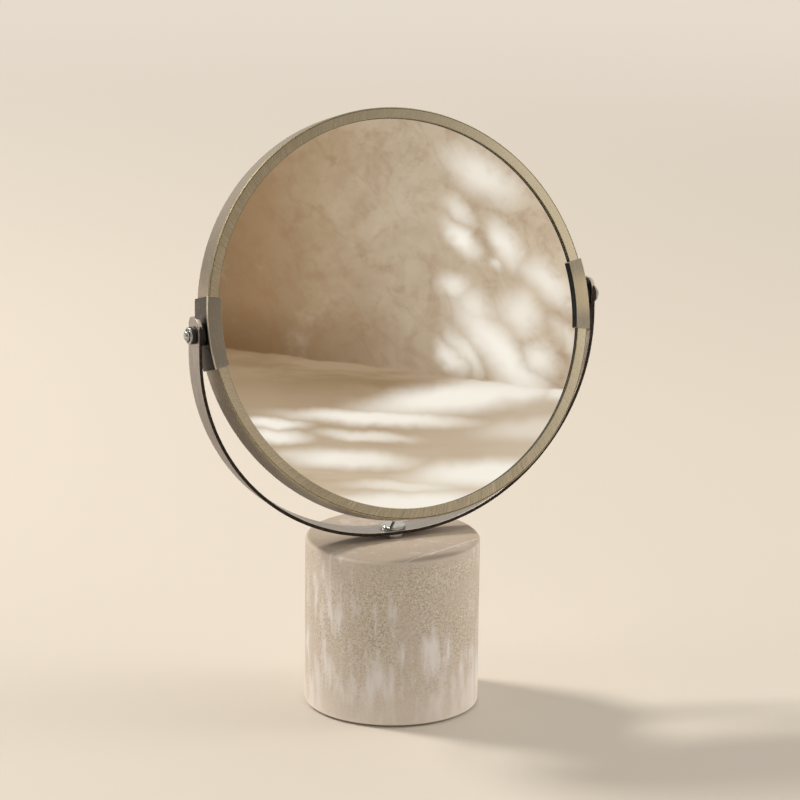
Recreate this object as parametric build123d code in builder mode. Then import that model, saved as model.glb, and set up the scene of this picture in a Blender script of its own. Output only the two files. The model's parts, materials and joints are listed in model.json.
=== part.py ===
"""Round two-sided table mirror that swivels in a strip yoke on a cylindrical cement base.

Millimetres, +Z up, the mirror's front towards -Y, pivot axis along X.
The origin is the centre of the underside, at the level that the pad stands on.
Each piece of the real object is one part. The mirror is modelled at rest, leaning back.
"""

import os
from math import cos, radians, sin, sqrt

from build123d import *

# ---------------------------------------------------------------- sizes

# base
base_d = 86.0  # diameter of the cast cylinder
base_h = 84.0  # height of the casting, without the pad
base_top_round = 2.0  # rounding of the top edge
base_edge_break = 0.8  # bevel round the lower edge
pad_margin = 4.0  # cement left round the pad
pad_t = 2.5  # thickness of the pad
pad_proud = 1.0  # how far the pad stands out of its recess
pad_fit = 0.15  # gap between pad and recess wall

# threaded insert, cast into the top of the base
insert_d = 10.0
insert_l = 22.0
insert_neck_d = 8.4  # waist that the cement grips
insert_neck_l = 7.0
insert_bore_l = 19.0  # depth of the threaded bore
insert_chamfer = 0.6
cast_fit = 0.03  # gap between the insert and the cement round it

# spacer and screw that hold the yoke
spacer_d = 12.0
spacer_h = 2.3
spacer_bevel = 0.6
yoke_screw_d = 6.0
screw_head_d = 12.6
screw_head_h = 1.7
screw_head_round = 0.7
screw_slot_w = 1.5
screw_slot_depth = 0.8
screw_slot_angle = 57.0  # direction of the slot, seen from above
yoke_screw_reach = 15.0  # length of thread in the insert
screw_tip_chamfer = 0.6
thread_fit = 0.05  # radial gap of a thread in its nut or insert
hole_fit = 0.15  # radial gap of a screw in a plain hole

# yoke
yoke_w = 13.6  # width of the strip
yoke_t = 1.8  # thickness of the strip
yoke_seat_l = 8.0  # straight piece at the bottom
yoke_end = 8.6  # strip above the pivot axis
yoke_corner_r = 4.8  # rounding of the two upper ends
yoke_edge_break = 0.25  # bevel of the strip's long edges
under_gap = 8.4  # space between ring and yoke, straight below the pivot axis
seat_gap = 0.05  # space of a flat seat against the bent strip

# mirror ring: a channel with an outer wall and two lips
ring_d = 200.0
ring_depth = 15.3
ring_wall = 1.2
ring_lip_t = 1.7  # thickness of the lips, how far the glass lies behind them
ring_band = 5.4  # width of the flat band seen from the front
ring_bevel_r = 0.4  # bright bevel of the outer edges, across
ring_bevel_a = 0.8  # the same bevel, along the wall

# glasses and what is behind them
glass_t = 2.0
glass_play = 0.5  # gap between a glass's edge and the outer wall
glass_edge = 0.25  # ground edge of the flat glass
dish_sag = 4.8  # depth of the dished glass at its centre
card_t = 1.0
card_play = 3.3  # how much smaller the card's radius is than the glass's
spacer_ring_w = 10.0
spacer_ring_fit = 0.1  # gap between the ring and the dished glass
nut_clear = 0.6  # gap round the nuts in the spacer ring

# clips over the joints of the half rings
clip_t = 0.9
clip_fit = 0.05  # gap between clip and ring
clip_arc = 20.0  # degrees of the ring that a clip covers
clip_corner_r = 0.8  # rounding of the cover plates' inner corners

# pivots
mirror_tilt = 18.1  # degrees that the mirror leans back at rest
pivot_d = 4.0
running_fit = 0.05  # radial gap of the pivot in the yoke and the washers
running_gap = 0.05  # end play of the washers
inner_washer_d = 11.0
inner_washer_t = 2.5
outer_washer_d = 8.4
outer_washer_t = 2.0
pivot_flange_d = 8.2
pivot_flange_t = 1.0
pivot_flange_bevel = 0.3
pivot_groove_d = 6.4
pivot_groove_depth = 0.3
pivot_dome_d = 5.6
pivot_dome_h = 1.65  # height of the dome above its flange
pivot_dome_round = 1.6  # rounding of the dome's edge
nut_w = 7.0
nut_t = 3.0
pivot_past_nut = 0.6

# ---------------------------------------------------------------- levels and radii

base_bottom_z = pad_proud
base_top_z = base_bottom_z + base_h
spacer_top_z = base_top_z + spacer_h
base_r = base_d / 2
pad_r = base_r - pad_margin

ring_r = ring_d / 2
wall_in_r = ring_r - ring_wall
lip_in_r = ring_r - ring_band
half_depth = ring_depth / 2
lip_in_n = half_depth - ring_lip_t
glass_r = wall_in_r - glass_play
flat_back_n = lip_in_n - glass_t
card_back_n = flat_back_n - card_t
dish_r = (glass_r**2 + dish_sag**2) / (2 * dish_sag)
dish_centre_n = dish_sag - lip_in_n - dish_r

clip_out_r = ring_r + clip_fit + clip_t
clip_front_n = half_depth + clip_fit + clip_t
clip_lip_r = lip_in_r - clip_fit - clip_t
clip_lip_n = lip_in_n + clip_fit

yoke_in_x = clip_out_r + running_gap + inner_washer_t
yoke_out_x = yoke_in_x + yoke_t
yoke_drop = ring_r + under_gap + yoke_t
pivot_z = spacer_top_z + yoke_drop
yoke_bend_r = yoke_out_x - yoke_seat_l / 2
head_seat_x = yoke_out_x + outer_washer_t + running_gap
pivot_bore_r = pivot_d / 2 + running_fit
nut_face_x = sqrt(wall_in_r**2 - (nut_w / 2) ** 2)
nut_in_x = nut_face_x - nut_t
pivot_tip_x = nut_in_x - pivot_past_nut
notch_x = pivot_tip_x - nut_clear

# ---------------------------------------------------------------- planes

# the mirror's own plane: x along the pivot axis, y up the glass, z out of the front
pivot_point = Vector(0, 0, pivot_z)
front_normal = Vector(0, -cos(radians(mirror_tilt)), sin(radians(mirror_tilt)))
mirror_plane = Plane(origin=pivot_point, x_dir=(1, 0, 0), z_dir=front_normal)
ring_axis = Axis(pivot_point, front_normal)

# half sections of the ring and of a clip: x is the radius, y runs towards the front
ring_section = mirror_plane.rotated((90, 0, 0))
clip_start = Vector(1, 0, 0).rotate(Axis((0, 0, 0), front_normal), -clip_arc / 2)
clip_section = Plane(pivot_point, x_dir=clip_start, z_dir=clip_start.cross(front_normal))

# cuts the ring into its upper and lower half
split_plane = Plane(origin=pivot_point, x_dir=(1, 0, 0), z_dir=mirror_plane.y_dir)

# circles drawn on this plane are round the pivot axis; its x runs up the glass
pivot_plane = Plane(origin=pivot_point, x_dir=mirror_plane.y_dir, z_dir=(1, 0, 0))

# profile of the yoke, with its height counted from the pivot axis
yoke_profile = Plane(origin=pivot_point, x_dir=(1, 0, 0), z_dir=(0, -1, 0))

# half section for what turns about the vertical axis of the base
base_section = Plane.XZ


# ---------------------------------------------------------------- stand

with BuildPart() as base_insert:
    with BuildSketch(base_section):
        with BuildLine():
            insert_bottom_z = base_top_z - insert_l
            neck_low_z = base_top_z - (insert_l + insert_neck_l) / 2
            neck_top_z = neck_low_z + insert_neck_l
            Polyline(
                (0, insert_bottom_z),
                (insert_d / 2, insert_bottom_z),
                (insert_d / 2, neck_low_z),
                (insert_neck_d / 2, neck_low_z + insert_chamfer),
                (insert_neck_d / 2, neck_top_z - insert_chamfer),
                (insert_d / 2, neck_top_z),
                (insert_d / 2, base_top_z),
                (0, base_top_z),
                close=True,
            )
        make_face()
    revolve(axis=Axis.Z)
    with BuildSketch(Plane.XY.offset(base_top_z)):
        Circle(yoke_screw_d / 2 + thread_fit)
    extrude(amount=-insert_bore_l, mode=Mode.SUBTRACT)

with BuildPart() as insert_cavity:
    with BuildSketch(base_section):
        with BuildLine():
            Polyline(
                (0, insert_bottom_z - cast_fit),
                (insert_d / 2 + cast_fit, insert_bottom_z - cast_fit),
                (insert_d / 2 + cast_fit, neck_low_z + cast_fit),
                (insert_neck_d / 2 + cast_fit, neck_low_z + insert_chamfer + cast_fit),
                (insert_neck_d / 2 + cast_fit, neck_top_z - insert_chamfer - cast_fit),
                (insert_d / 2 + cast_fit, neck_top_z - cast_fit),
                (insert_d / 2 + cast_fit, base_top_z),
                (0, base_top_z),
                close=True,
            )
        make_face()
    revolve(axis=Axis.Z)

with BuildPart() as base:
    with BuildSketch(Plane.XY.offset(base_bottom_z)):
        Circle(base_r)
    extrude(amount=base_h)
    fillet(base.faces().sort_by(Axis.Z)[-1].edges(), radius=base_top_round)
    chamfer(base.faces().sort_by(Axis.Z)[0].edges(), length=base_edge_break)
    with BuildSketch(Plane.XY.offset(base_bottom_z)):
        Circle(pad_r + pad_fit)
    extrude(amount=pad_t - pad_proud, mode=Mode.SUBTRACT)
    add(insert_cavity.part, mode=Mode.SUBTRACT)

with BuildPart() as base_pad:
    with BuildSketch(Plane.XY):
        Circle(pad_r)
    extrude(amount=pad_t)

with BuildPart() as yoke_spacer:
    with BuildSketch(Plane.XY.offset(base_top_z)):
        Circle(spacer_d / 2)
        Circle(yoke_screw_d / 2 + hole_fit, mode=Mode.SUBTRACT)
    extrude(amount=spacer_h)
    chamfer(
        yoke_spacer.edges().filter_by(GeomType.CIRCLE).group_by(SortBy.RADIUS)[-1],
        length=spacer_bevel,
    )

# strip bent to a U: the outline of its edge, swept over the width of the strip
with BuildPart() as yoke:
    with BuildSketch(yoke_profile.offset(-yoke_w / 2)):
        with BuildLine():
            seat = Line((0, -yoke_drop), (yoke_seat_l / 2, -yoke_drop))
            bend = CenterArc(
                (yoke_seat_l / 2, yoke_bend_r - yoke_drop), yoke_bend_r, -90, 90
            )
            arm = Line(bend @ 1, (yoke_out_x, yoke_end))
            top = Line(arm @ 1, (yoke_in_x, yoke_end))
            arm_in = Line(top @ 1, (yoke_in_x, yoke_bend_r - yoke_drop))
            bend_in = CenterArc(
                (yoke_seat_l / 2, yoke_bend_r - yoke_drop), yoke_bend_r - yoke_t, 0, -90
            )
            seat_in = Line(bend_in @ 1, (0, yoke_t - yoke_drop))
            Line(seat_in @ 1, seat @ 0)
        make_face()
        mirror(about=Plane.YZ)
    extrude(amount=yoke_w)
    arm_ends = yoke.faces().filter_by(Axis.Z).group_by(Axis.Z)[-1]
    fillet(arm_ends.edges().filter_by(Axis.X), radius=yoke_corner_r)
    strip_sides = yoke.faces().filter_by(Axis.Y)
    chamfer(strip_sides.edges(), length=yoke_edge_break)
    with BuildSketch(pivot_plane):
        Circle(pivot_bore_r)
    extrude(amount=yoke_out_x + yoke_t, both=True, mode=Mode.SUBTRACT)
    with BuildSketch(Plane.XY.offset(spacer_top_z)):
        Circle(yoke_screw_d / 2 + hole_fit)
    extrude(amount=yoke_t * 2, mode=Mode.SUBTRACT)

with BuildPart() as yoke_screw:
    head_z = spacer_top_z + yoke_t + seat_gap
    with BuildSketch(Plane.XY.offset(head_z)):
        Circle(screw_head_d / 2)
    extrude(amount=screw_head_h)
    fillet(yoke_screw.faces().sort_by(Axis.Z)[-1].edges(), radius=screw_head_round)
    with BuildSketch(Plane.XY.offset(head_z + screw_head_h)):
        Rectangle(screw_head_d * 1.2, screw_slot_w, rotation=screw_slot_angle)
    extrude(amount=-screw_slot_depth, mode=Mode.SUBTRACT)
    with BuildSketch(Plane.XY.offset(head_z)):
        Circle(yoke_screw_d / 2)
    extrude(amount=-(head_z - base_top_z + yoke_screw_reach))
    chamfer(yoke_screw.faces().sort_by(Axis.Z)[0].edges(), length=screw_tip_chamfer)

# ---------------------------------------------------------------- washers of the pivots

with BuildPart() as inner_washer_right:
    with BuildSketch(pivot_plane.offset(clip_out_r + running_gap)):
        Circle(inner_washer_d / 2)
        Circle(pivot_bore_r, mode=Mode.SUBTRACT)
    extrude(amount=inner_washer_t)

with BuildPart() as inner_washer_left:
    mirror(inner_washer_right.part, about=Plane.YZ)

with BuildPart() as outer_washer_right:
    with BuildSketch(pivot_plane.offset(yoke_out_x)):
        Circle(outer_washer_d / 2)
        Circle(pivot_bore_r, mode=Mode.SUBTRACT)
    extrude(amount=outer_washer_t)

with BuildPart() as outer_washer_left:
    mirror(outer_washer_right.part, about=Plane.YZ)

# ---------------------------------------------------------------- mirror ring

# channel: outer wall and two lips, drawn for the front half and mirrored to the back
with BuildPart() as frame_upper:
    with BuildSketch(ring_section):
        with BuildLine():
            Polyline(
                (wall_in_r, 0),
                (wall_in_r, lip_in_n),
                (lip_in_r, lip_in_n),
                (lip_in_r, half_depth),
                (ring_r - ring_bevel_r, half_depth),
                (ring_r, half_depth - ring_bevel_a),
                (ring_r, 0),
                close=True,
            )
        make_face()
        mirror(about=Plane.XZ)
    revolve(axis=ring_axis, revolution_arc=180)
    with BuildSketch(pivot_plane):
        Circle(pivot_d / 2 + hole_fit)
    extrude(amount=ring_r + ring_wall, both=True, mode=Mode.SUBTRACT)

with BuildPart() as frame_lower:
    mirror(frame_upper.part, about=split_plane)

# sleeve round the channel: wall, two cover plates and the returns inside the lips
with BuildPart() as clip_right:
    with BuildSketch(clip_section):
        with BuildLine():
            Polyline(
                (ring_r + clip_fit, 0),
                (ring_r + clip_fit, half_depth - ring_bevel_a),
                (ring_r - ring_bevel_r + clip_fit, half_depth + clip_fit),
                (lip_in_r - clip_fit, half_depth + clip_fit),
                (lip_in_r - clip_fit, clip_lip_n),
                (clip_lip_r, clip_lip_n),
                (clip_lip_r, clip_front_n),
                (clip_out_r - ring_bevel_r, clip_front_n),
                (clip_out_r, clip_front_n - ring_bevel_a),
                (clip_out_r, 0),
                close=True,
            )
        make_face()
        mirror(about=Plane.XZ)
    revolve(axis=ring_axis, revolution_arc=clip_arc)
    lip_corners = clip_right.edges().filter_by(ring_axis).group_by(Axis.X)[0]
    fillet(lip_corners, radius=clip_corner_r)
    with BuildSketch(pivot_plane):
        Circle(pivot_d / 2 + hole_fit)
    extrude(amount=clip_out_r + clip_t, mode=Mode.SUBTRACT)

with BuildPart() as clip_left:
    mirror(clip_right.part, about=Plane.YZ)

# ---------------------------------------------------------------- glasses and backing

with BuildPart() as plain_mirror:
    with BuildSketch(mirror_plane.offset(flat_back_n)):
        Circle(glass_r)
    extrude(amount=glass_t)
    chamfer(plain_mirror.edges().filter_by(GeomType.CIRCLE), length=glass_edge)

# dished glass: a disc cut by two spheres of one radius, so both faces are parallel
with BuildPart() as magnifying_mirror:
    with BuildSketch(mirror_plane.offset(-lip_in_n)):
        Circle(glass_r)
    extrude(amount=glass_t + dish_sag)
    with Locations(mirror_plane.offset(dish_centre_n)):
        Sphere(dish_r, mode=Mode.SUBTRACT)
    with Locations(mirror_plane.offset(dish_centre_n + glass_t)):
        Sphere(dish_r, mode=Mode.INTERSECT)

with BuildPart() as backing_card:
    with BuildSketch(mirror_plane.offset(card_back_n)):
        Circle(glass_r - card_play)
    extrude(amount=card_t)

# fibre ring between card and dished glass, cut away round the two nuts
with BuildPart() as spacer_ring:
    spacer_in_r = glass_r - spacer_ring_w
    dish_rise = dish_sag * (1 - (spacer_in_r / glass_r) ** 2)
    with BuildSketch(ring_section):
        with BuildLine():
            Polyline(
                (glass_r, glass_t - lip_in_n + spacer_ring_fit),
                (glass_r, card_back_n),
                (spacer_in_r, card_back_n),
                (spacer_in_r, glass_t - lip_in_n + dish_rise + spacer_ring_fit),
                close=True,
            )
        make_face()
    revolve(axis=ring_axis)
    with BuildSketch(pivot_plane.offset(notch_x)):
        Rectangle(nut_w + 2 * nut_clear, ring_depth)
    extrude(amount=ring_r - notch_x, mode=Mode.SUBTRACT)
    with BuildSketch(pivot_plane.offset(-notch_x)):
        Rectangle(nut_w + 2 * nut_clear, ring_depth)
    extrude(amount=notch_x - ring_r, mode=Mode.SUBTRACT)

# ---------------------------------------------------------------- pivots

with BuildPart() as pivot_nut_right:
    with BuildSketch(pivot_plane.offset(nut_in_x)):
        Rectangle(nut_w, nut_w)
        Circle(pivot_d / 2 + thread_fit, mode=Mode.SUBTRACT)
    extrude(amount=nut_t)

with BuildPart() as pivot_nut_left:
    mirror(pivot_nut_right.part, about=Plane.YZ)

with BuildPart() as pivot_screw_right:
    with BuildSketch(pivot_plane.offset(pivot_tip_x)):
        Circle(pivot_d / 2)
    extrude(amount=head_seat_x - pivot_tip_x)
    with BuildSketch(pivot_plane.offset(head_seat_x)):
        Circle(pivot_flange_d / 2)
    extrude(amount=pivot_flange_t)
    flange_x = head_seat_x + pivot_flange_t
    chamfer(
        pivot_screw_right.faces().sort_by(Axis.X)[-1].edges(), length=pivot_flange_bevel
    )
    with BuildSketch(pivot_plane.offset(flange_x)):
        Circle(pivot_groove_d / 2)
    extrude(amount=-pivot_groove_depth, mode=Mode.SUBTRACT)
    with BuildSketch(pivot_plane.offset(flange_x - pivot_groove_depth)):
        Circle(pivot_dome_d / 2)
    extrude(amount=pivot_dome_h + pivot_groove_depth)
    fillet(
        pivot_screw_right.faces().sort_by(Axis.X)[-1].edges(),
        radius=min(pivot_dome_round, pivot_dome_h, 0.9 * pivot_dome_d / 2),
    )

with BuildPart() as pivot_screw_left:
    mirror(pivot_screw_right.part, about=Plane.YZ)

# ---------------------------------------------------------------- output

pieces = {
    "base": base,
    "base_pad": base_pad,
    "base_insert": base_insert,
    "yoke_spacer": yoke_spacer,
    "yoke": yoke,
    "yoke_screw": yoke_screw,
    "inner_washer_left": inner_washer_left,
    "inner_washer_right": inner_washer_right,
    "outer_washer_left": outer_washer_left,
    "outer_washer_right": outer_washer_right,
    "frame_upper": frame_upper,
    "frame_lower": frame_lower,
    "clip_left": clip_left,
    "clip_right": clip_right,
    "plain_mirror": plain_mirror,
    "magnifying_mirror": magnifying_mirror,
    "backing_card": backing_card,
    "spacer_ring": spacer_ring,
    "pivot_nut_left": pivot_nut_left,
    "pivot_nut_right": pivot_nut_right,
    "pivot_screw_left": pivot_screw_left,
    "pivot_screw_right": pivot_screw_right,
}

os.makedirs("parts", exist_ok=True)
for name, piece in pieces.items():
    piece.part.label = name
    export_step(piece.part, f"parts/{name}.step")
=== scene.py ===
import json
from functools import partial
from math import asin, cos, pi, radians, sin

import bmesh
import bpy
from bpy.props import FloatProperty, FloatVectorProperty, PointerProperty
from mathutils import Matrix, Vector


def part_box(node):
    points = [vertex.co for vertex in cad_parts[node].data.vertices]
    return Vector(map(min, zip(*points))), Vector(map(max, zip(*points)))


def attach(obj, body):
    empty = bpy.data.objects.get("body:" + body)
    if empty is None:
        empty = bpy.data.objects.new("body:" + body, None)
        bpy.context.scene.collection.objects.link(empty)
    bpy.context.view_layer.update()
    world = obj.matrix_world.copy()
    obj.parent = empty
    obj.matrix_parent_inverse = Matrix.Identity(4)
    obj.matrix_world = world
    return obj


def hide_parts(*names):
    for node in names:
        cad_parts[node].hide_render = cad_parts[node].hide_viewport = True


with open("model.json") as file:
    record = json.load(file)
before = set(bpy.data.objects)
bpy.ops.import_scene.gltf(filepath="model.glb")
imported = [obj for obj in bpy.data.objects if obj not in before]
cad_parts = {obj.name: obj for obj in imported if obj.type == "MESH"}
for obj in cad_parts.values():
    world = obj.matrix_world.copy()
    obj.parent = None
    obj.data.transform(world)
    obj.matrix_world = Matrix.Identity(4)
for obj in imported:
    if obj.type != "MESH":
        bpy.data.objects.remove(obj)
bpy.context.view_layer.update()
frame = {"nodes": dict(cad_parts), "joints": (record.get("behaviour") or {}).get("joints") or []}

bl_info = {
    "name": "Round Swivel Table Mirror",
    "version": (1, 0, 0),
    "blender": (4, 5, 0),
    "location": "View3D > Sidebar > Table Mirror",
    "description": "Visual model of a two-sided table mirror in a strip yoke on a cast stone base",
    "category": "Add Mesh",
}

MM = 0.001
TINY, MERGED = 1e-6, 1e-7

# ---------------------------------------------------------------- places read from the frame

PIVOT = Vector(frame["joints"][0]["pos_m"])
BASE_LOW, BASE_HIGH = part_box("base")
RING_LOW, RING_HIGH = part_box("frame_upper")
YOKE_LOW, YOKE_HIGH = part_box("yoke")
INNER_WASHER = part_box("inner_washer_right")
OUTER_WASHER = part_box("outer_washer_right")

TILT = radians(18.1)
# mirror plane: x along the pivots, y up the glass, z out of the front
MIRROR_FRAME = Matrix(
    (
        (1, 0, 0, PIVOT.x),
        (0, sin(TILT), -cos(TILT), PIVOT.y),
        (0, cos(TILT), sin(TILT), PIVOT.z),
        (0, 0, 0, 1),
    )
)


# ---------------------------------------------------------------- fixed sizes of the small parts

BASE_STEPS, SCREW_STEPS, WASHER_STEPS, BOLT_STEPS = 160, 96, 64, 72  # facets round a full turn
GLASS_STEPS, HALF_RING_STEPS, CLIP_STEPS = 192, 96, 14  # and round a glass, a half ring and a clip
PAD_GAP = 0.15 * MM  # round the foam pad
YOKE_SEAT = 4 * MM  # half the length of the flat at the yoke's foot
YOKE_BEND_STEPS = 48
PIVOT_HOLE = 2.05 * MM  # radius of the holes in yoke and washers
RING_HOLE = 2.15 * MM  # and in ring and clips
SCREW_HOLE = 3.15 * MM  # and in the yoke's foot and its spacer
SCREW_SHANK, SCREW_TIP = 3.0 * MM, 2.4 * MM  # radii
SCREW_HEAD, SLOT_DEEP, SLOT_WIDE, SLOT_TURN = 1.7 * MM, 0.8 * MM, 1.5 * MM, radians(57)
BOLT_SHANK, BOLT_DOME, BOLT_RING, BOLT_FLANGE = 2.0 * MM, 2.55 * MM, 3.2 * MM, 4.1 * MM  # radii
BOLT_DOME_HIGH, BOLT_RING_DEEP, BOLT_FLANGE_THICK = 1.65 * MM, 0.3 * MM, 1.0 * MM
HALF_RING_GAP = 0.02 * MM
GROOVE_WIDE, GROOVE_DEEP, GROOVE_FROM_BEVEL = 0.3 * MM, 0.12 * MM, 0.12 * MM
CLIP_ARC, CLIP_GAP, CLIP_CORNER = radians(20), 0.05 * MM, 0.8 * MM
GLASS_GAP, GLASS_BEVEL = 0.5 * MM, 0.25 * MM  # between glass and ring wall, and round the flat glass


def srgb(text):
    """A hex colour as it is seen on a screen, turned to linear red, green and blue."""
    parts = [int(text[i : i + 2], 16) / 255 for i in (1, 3, 5)]
    return [c / 12.92 if c <= 0.04045 else ((c + 0.055) / 1.055) ** 2.4 for c in parts]


# ---------------------------------------------------------------- what a user would change


def length(name, description, default_mm, low_mm=0.0, high_mm=1000.0):
    return FloatProperty(
        name=name, description=description, default=default_mm * MM, min=low_mm * MM, max=high_mm * MM,
        precision=5, subtype="DISTANCE", unit="LENGTH"
    )


def colour(name, description, text):
    return FloatVectorProperty(
        name=name, description=description, default=srgb(text), size=3, min=0.0, max=1.0, subtype="COLOR"
    )


class TableMirrorSizes(bpy.types.PropertyGroup):
    base_round: length("Base rounding", "Radius of the top edge of the cast base", 2.0, 0.5, 8)
    base_break: length("Base lower break", "Bevel round the lower edge of the base", 0.8, 0.1, 2)
    stone_grain: length("Sand grain", "Size of the sand grains that show in the casting", 0.52, 0.2, 2)
    streak_width: length("Streak width", "Width of the pale streaks in the casting", 4.6, 0.5, 20)
    streak_length: length("Streak length", "Height of the pale streaks in the casting", 19, 2, 80)
    ring_wall: length("Ring wall", "Thickness of the ring's sheet", 1.2, 0.5, 3)
    ring_lip: length("Ring lip", "Thickness of the ring's lips", 1.7, 0.5, 3)
    ring_band: length("Ring band", "Width of the flat band seen from the front", 5.4, 2, 12)
    bevel_across: length("Bevel across", "Bright bevel of the ring, seen from the front", 0.4, 0.1, 2)
    bevel_along: length("Bevel along", "Bright bevel of the ring, seen from the side", 0.8, 0.1, 3)
    clip_sheet: length("Clip sheet", "Thickness of the clips' sheet", 0.9, 0.3, 2)
    yoke_sheet: length("Yoke strip", "Thickness of the yoke's strip", 1.8, 0.8, 4)
    yoke_corner: length("Yoke ends", "Rounding of the yoke's upper ends", 4.8, 0.5, 6)
    edge_round: length("Edge rounding", "Rounding of the cut sheet edges", 0.18, 0.02, 0.5)
    yoke_break: length("Yoke edge", "Rounding of the yoke's long edges", 0.35, 0.02, 0.6)
    glass_thick: length("Glass", "Thickness of both glasses", 2.0, 1, 4)
    dish_depth: length("Dish", "Depth of the dished glass at its centre", 4.8, 0, 6)
    brush_pitch: length("Brush pitch", "Distance between brush lines", 0.6, 0.1, 2)


class TableMirrorColours(bpy.types.PropertyGroup):
    stone: colour("Sand", "Main colour of the casting", "#bbb0a0")
    stone_pink: colour("Pink sand", "Warmer clouds in the casting", "#beb2a6")
    stone_streak: colour("Streaks", "Pale streaks in the casting", "#dcd8d6")
    ring_brass: colour("Ring brass", "Brushed antique brass of the ring's band", "#b9b2a2")
    ring_wall: colour("Ring wall", "Satin plating on the ring's outer wall", "#b9b0a4")
    clip_brass: colour("Clip brass", "Darker satin plating of the clips", "#a3a4a2")
    yoke_plate: colour("Yoke plating", "Satin pewter plating of the yoke", "#aca7a5")
    # the next two colours are painted shade: nearly black on the yoke's cut edges, blue-black inside the ring
    # and the clips
    yoke_shade_tone: colour("Yoke edges", "Dark oxidised finish of the yoke's cut edges", "#37312e")
    lip_shade_tone: colour("Lip edges", "Blue-black oxide inside the ring and the clips", "#22292c")
    # painted shade on the clips' outer side
    clip_side_shade: colour("Clip sides", "Dark satin plating on the clips' outer side", "#4c4846")
    floor: colour("Floor", "Pale floor of the stage", "#cfc7bb")


def choices():
    return bpy.context.scene.table_mirror_sizes, bpy.context.scene.table_mirror_colours


# ---------------------------------------------------------------- meshes


def sheet_section(bm, corners, place=lambda a, b: Vector((a, 0, b))):
    """A closed outline of (first, second, rounding) corners, placed by a function, as a loop of edges."""
    verts = [bm.verts.new(place(a, b)) for a, b, _ in corners]
    face = bm.faces.new(verts)
    for rounding in sorted({c[2] for c in corners if c[2] > 0}):
        chosen = [v for v, c in zip(verts, corners) if c[2] == rounding and v.is_valid]
        bmesh.ops.bevel(
            bm, geom=chosen, offset=rounding, offset_type="OFFSET", affect="VERTICES",
            segments=3 if rounding < 0.5 * MM else 8, profile=0.5, material=-1, clamp_overlap=True
        )
    bmesh.ops.delete(bm, geom=list(bm.faces), context="FACES_ONLY")
    return list(bm.verts), list(bm.edges)


def turn(bm, verts, edges, centre, axis, angle, steps):
    """Spins a loop of edges; a part turn is closed at both ends."""
    full = abs(abs(angle) - 2 * pi) < TINY
    spun = bmesh.ops.spin(
        bm, geom=verts + edges, cent=centre, axis=axis, dvec=(0, 0, 0), angle=angle, steps=steps,
        use_merge=full, use_duplicate=False
    )["geom_last"]
    if full:
        bmesh.ops.remove_doubles(bm, verts=bm.verts, dist=MERGED)
    return spun


def turned_part(corners, steps, side=0):
    """A closed outline of (radius, height, rounding) corners turned full round about the vertical, or about
    the pivots, where a height is a place along them towards a side."""

    def place(radius, height):
        return Vector((side * height, 0, PIVOT.z + radius)) if side else Vector((radius, 0, height))

    bm = bmesh.new()
    verts, edges = sheet_section(bm, corners, place)
    centre, axis = ((0, 0, PIVOT.z), (1, 0, 0)) if side else ((0, 0, 0), (0, 0, 1))
    turn(bm, verts, edges, centre, axis, 2 * pi, steps)
    outward(bm)
    return bm


def close_ends(bm):
    """Fills the open loops that a part turn or an extruded strip leaves."""
    bmesh.ops.holes_fill(bm, edges=[e for e in bm.edges if e.is_boundary], sides=0)


def outward(bm):
    bmesh.ops.remove_doubles(bm, verts=bm.verts, dist=MERGED)
    bmesh.ops.delete(bm, geom=[e for e in bm.edges if not e.link_faces], context="EDGES")
    bmesh.ops.recalc_face_normals(bm, faces=bm.faces)


def break_edges(bm, width, chosen=None, segments=2, sharper=40):
    """Rounds the chosen edges, or all that are sharper than an angle."""
    if chosen is None:
        chosen = [e for e in bm.edges if len(e.link_faces) == 2 and e.calc_face_angle(0) > radians(sharper)]
    bmesh.ops.bevel(
        bm, geom=chosen, offset=width, offset_type="OFFSET", affect="EDGES", segments=segments, profile=0.5,
        material=-1, clamp_overlap=True, loop_slide=True
    )


def finished(bm, name, body, materials, nodes, sharper=50):
    """Makes the object of a piece, with smooth faces, and lets it stand for its CAD nodes."""
    for f in bm.faces:
        f.smooth = True
    for e in bm.edges:
        e.smooth = len(e.link_faces) != 2 or e.calc_face_angle(0) < radians(sharper)
    mesh = bpy.data.meshes.new(name)
    bm.to_mesh(mesh)
    bm.free()
    for m in materials:
        mesh.materials.append(m)
    piece = bpy.data.objects.new(name, mesh)
    bpy.context.scene.collection.objects.link(piece)
    weighted = piece.modifiers.new("flat faces stay flat", "WEIGHTED_NORMAL")
    weighted.keep_sharp = True
    weighted.weight = 80
    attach(piece, body)
    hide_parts(*nodes)
    return piece


def cut_away(bm, tool):
    """Takes the solid of a second bmesh out of the first."""
    meshes = []
    for content, name in ((bm, "worked"), (tool, "tool")):
        meshes.append(bpy.data.meshes.new(name))
        content.to_mesh(meshes[-1])
    tool.free()
    work, knife = (bpy.data.objects.new(m.name, m) for m in meshes)
    for o in (work, knife):
        bpy.context.scene.collection.objects.link(o)
    cut = work.modifiers.new("cut", "BOOLEAN")
    cut.operation, cut.solver, cut.object = "DIFFERENCE", "EXACT", knife
    bpy.context.view_layer.update()
    meshes.append(bpy.data.meshes.new_from_object(work.evaluated_get(bpy.context.evaluated_depsgraph_get())))
    bm.clear()
    bm.from_mesh(meshes[-1])
    for o in (work, knife):
        bpy.data.objects.remove(o)
    for m in meshes:
        bpy.data.meshes.remove(m)


def bored(bm, radius, low, high):
    """Drills a round hole along the line from low to high."""
    low, high = Vector(low), Vector(high)
    drill = bmesh.new()
    bmesh.ops.create_cone(
        drill, cap_ends=True, segments=48, radius1=radius, radius2=radius, depth=(high - low).length,
        matrix=Matrix.Translation((low + high) / 2) @ (high - low).to_track_quat("Z", "Y").to_matrix().to_4x4()
    )
    cut_away(bm, drill)


# ---------------------------------------------------------------- materials


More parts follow.
